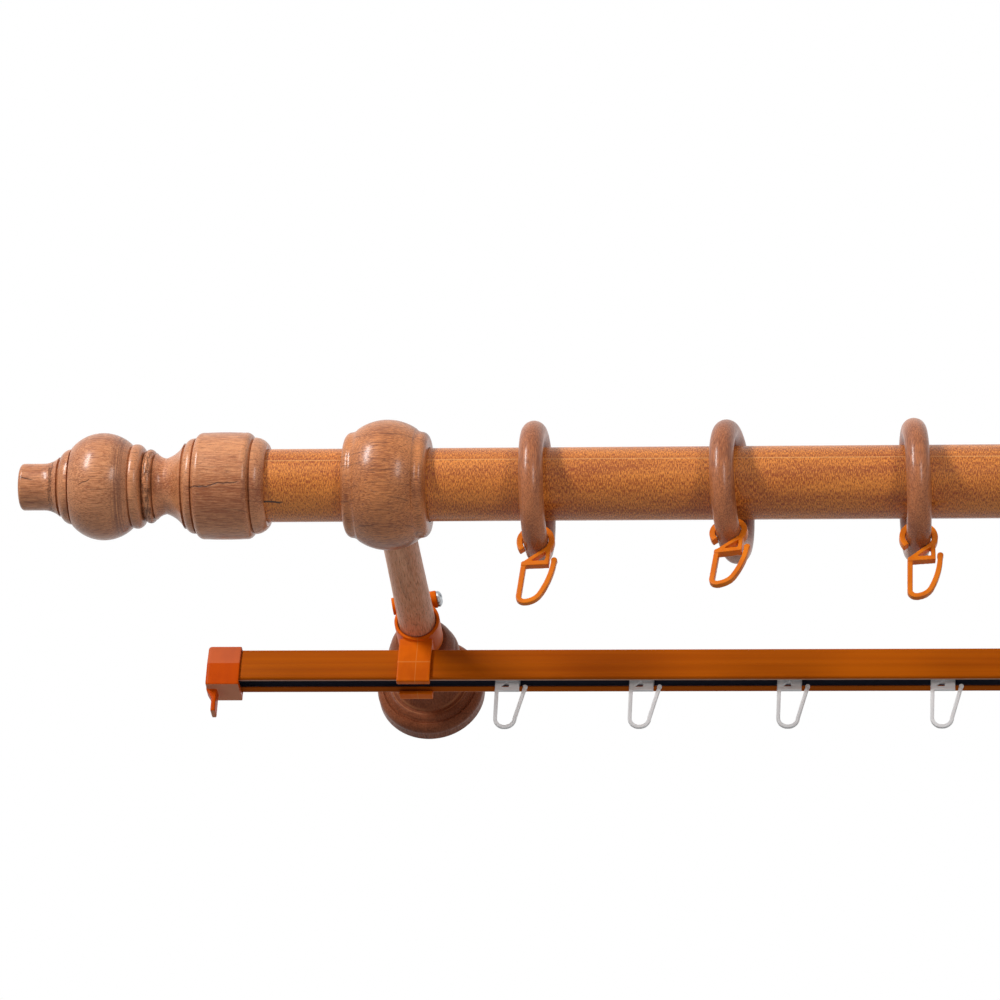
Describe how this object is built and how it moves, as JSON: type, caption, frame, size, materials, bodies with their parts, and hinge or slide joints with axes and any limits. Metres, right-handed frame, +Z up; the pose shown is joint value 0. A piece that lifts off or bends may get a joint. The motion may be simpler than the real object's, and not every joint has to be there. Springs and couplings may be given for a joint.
{
  "type": "wooden curtain rod",
  "caption": "Wooden pole with turned finials and bracket arms, rings with moulded hooks, and a slim rail with gliders clipped under the arms for a second curtain.",
  "frame": {"origin": "middle of the left bracket's wall face", "axes": "+X along the pole, +Y towards the wall, +Z up"},
  "size_m": [0.8562, 0.1875, 0.0797],
  "materials": {
    "turned_wood": "satin lacquer over stained beech",
    "pole_wood": "satin lacquer over stained, finely flecked wood",
    "hook_plastic": "moulded, half gloss",
    "cap_plastic": "moulded, half gloss",
    "rail_enamel": "satin enamel",
    "white_plastic": "moulded, satin",
    "zinc": "bright zinc"
  },
  "bodies": {
    "bracket_pole_and_rail": {"pole": "pole_wood", "finial_left": "turned_wood", "finial_right": "turned_wood", "collar_left": "turned_wood", "collar_right": "turned_wood", "arm_left": "turned_wood", "arm_right": "turned_wood", "rosette_left": "turned_wood", "rosette_right": "turned_wood", "rail": "rail_enamel", "end_cap_left": "cap_plastic", "end_cap_right": "cap_plastic", "rail_clip_left": "hook_plastic", "rail_clip_right": "hook_plastic", "clip_screws": "zinc"},
    "ring_1_body": {"ring_1": "turned_wood"},
    "hook_1_body": {"ring_hook_1": "hook_plastic"},
    "ring_2_body": {"ring_2": "turned_wood"},
    "hook_2_body": {"ring_hook_2": "hook_plastic"},
    "ring_3_body": {"ring_3": "turned_wood"},
    "hook_3_body": {"ring_hook_3": "hook_plastic"},
    "ring_4_body": {"ring_4": "turned_wood"},
    "hook_4_body": {"ring_hook_4": "hook_plastic"},
    "ring_5_body": {"ring_5": "turned_wood"},
    "hook_5_body": {"ring_hook_5": "hook_plastic"},
    "ring_6_body": {"ring_6": "turned_wood"},
    "hook_6_body": {"ring_hook_6": "hook_plastic"},
    "glider_1_body": {"glider_1": "white_plastic"},
    "glider_2_body": {"glider_2": "white_plastic"},
    "glider_3_body": {"glider_3": "white_plastic"},
    "glider_4_body": {"glider_4": "white_plastic"},
    "glider_5_body": {"glider_5": "white_plastic"},
    "glider_6_body": {"glider_6": "white_plastic"},
    "glider_7_body": {"glider_7": "white_plastic"},
    "glider_8_body": {"glider_8": "white_plastic"}
  },
  "joints": [
    {"name": "ring_1_slide", "type": "slide", "parent": "bracket_pole_and_rail", "child": "ring_1_body", "axis": [1, 0, 0], "range_m": [-0.028, 0.016]},
    {"name": "hook_1_swing", "type": "hinge", "parent": "ring_1_body", "child": "hook_1_body", "pos_m": [0.05817, -0.1612, -0.02671], "axis": [0.0227, 0.9984, -0.0516], "range_deg": [-25, 25]},
    {"name": "ring_2_slide", "type": "slide", "parent": "bracket_pole_and_rail", "child": "ring_2_body", "axis": [1, 0, 0], "range_m": [-0.016, 0.013]},
    {"name": "hook_2_swing", "type": "hinge", "parent": "ring_2_body", "child": "hook_2_body", "pos_m": [0.13144, -0.16587, -0.02598], "axis": [0.1207, 0.9591, -0.2559], "range_deg": [-25, 25]},
    {"name": "ring_3_slide", "type": "slide", "parent": "bracket_pole_and_rail", "child": "ring_3_body", "axis": [1, 0, 0], "range_m": [-0.013, 0.058]},
    {"name": "hook_3_swing", "type": "hinge", "parent": "ring_3_body", "child": "hook_3_body", "pos_m": [0.20249, -0.16238, -0.02656], "axis": [-0.0709, 0.9915, -0.1095], "range_deg": [-25, 25]},
    {"name": "ring_4_slide", "type": "slide", "parent": "bracket_pole_and_rail", "child": "ring_4_body", "axis": [1, 0, 0], "range_m": [-0.058, 0.013]},
    {"name": "hook_4_swing", "type": "hinge", "parent": "ring_4_body", "child": "hook_4_body", "pos_m": [0.36951, -0.16238, -0.02656], "axis": [0.0709, 0.9915, -0.1095], "range_deg": [-25, 25]},
    {"name": "ring_5_slide", "type": "slide", "parent": "bracket_pole_and_rail", "child": "ring_5_body", "axis": [1, 0, 0], "range_m": [-0.013, 0.016]},
    {"name": "hook_5_swing", "type": "hinge", "parent": "ring_5_body", "child": "hook_5_body", "pos_m": [0.44056, -0.16587, -0.02598], "axis": [-0.1207, 0.9591, -0.2559], "range_deg": [-25, 25]},
    {"name": "ring_6_slide", "type": "slide", "parent": "bracket_pole_and_rail", "child": "ring_6_body", "axis": [1, 0, 0], "range_m": [-0.016, 0.028]},
    {"name": "hook_6_swing", "type": "hinge", "parent": "ring_6_body", "child": "hook_6_body", "pos_m": [0.51383, -0.1612, -0.02671], "axis": [-0.0227, 0.9984, -0.0516], "range_deg": [-25, 25]},
    {"name": "glider_1_slide", "type": "slide", "parent": "bracket_pole_and_rail", "child": "glider_1_body", "axis": [1, 0, 0], "range_m": [-0.024, 0.019]},
    {"name": "glider_2_slide", "type": "slide", "parent": "bracket_pole_and_rail", "child": "glider_2_body", "axis": [1, 0, 0], "range_m": [-0.019, 0.022]},
    {"name": "glider_3_slide", "type": "slide", "parent": "bracket_pole_and_rail", "child": "glider_3_body", "axis": [1, 0, 0], "range_m": [-0.022, 0.023]},
    {"name": "glider_4_slide", "type": "slide", "parent": "bracket_pole_and_rail", "child": "glider_4_body", "axis": [1, 0, 0], "range_m": [-0.023, 0.068]},
    {"name": "glider_5_slide", "type": "slide", "parent": "bracket_pole_and_rail", "child": "glider_5_body", "axis": [1, 0, 0], "range_m": [-0.068, 0.023]},
    {"name": "glider_6_slide", "type": "slide", "parent": "bracket_pole_and_rail", "child": "glider_6_body", "axis": [1, 0, 0], "range_m": [-0.023, 0.022]},
    {"name": "glider_7_slide", "type": "slide", "parent": "bracket_pole_and_rail", "child": "glider_7_body", "axis": [1, 0, 0], "range_m": [-0.022, 0.019]},
    {"name": "glider_8_slide", "type": "slide", "parent": "bracket_pole_and_rail", "child": "glider_8_body", "axis": [1, 0, 0], "range_m": [-0.019, 0.021]}
  ]
}
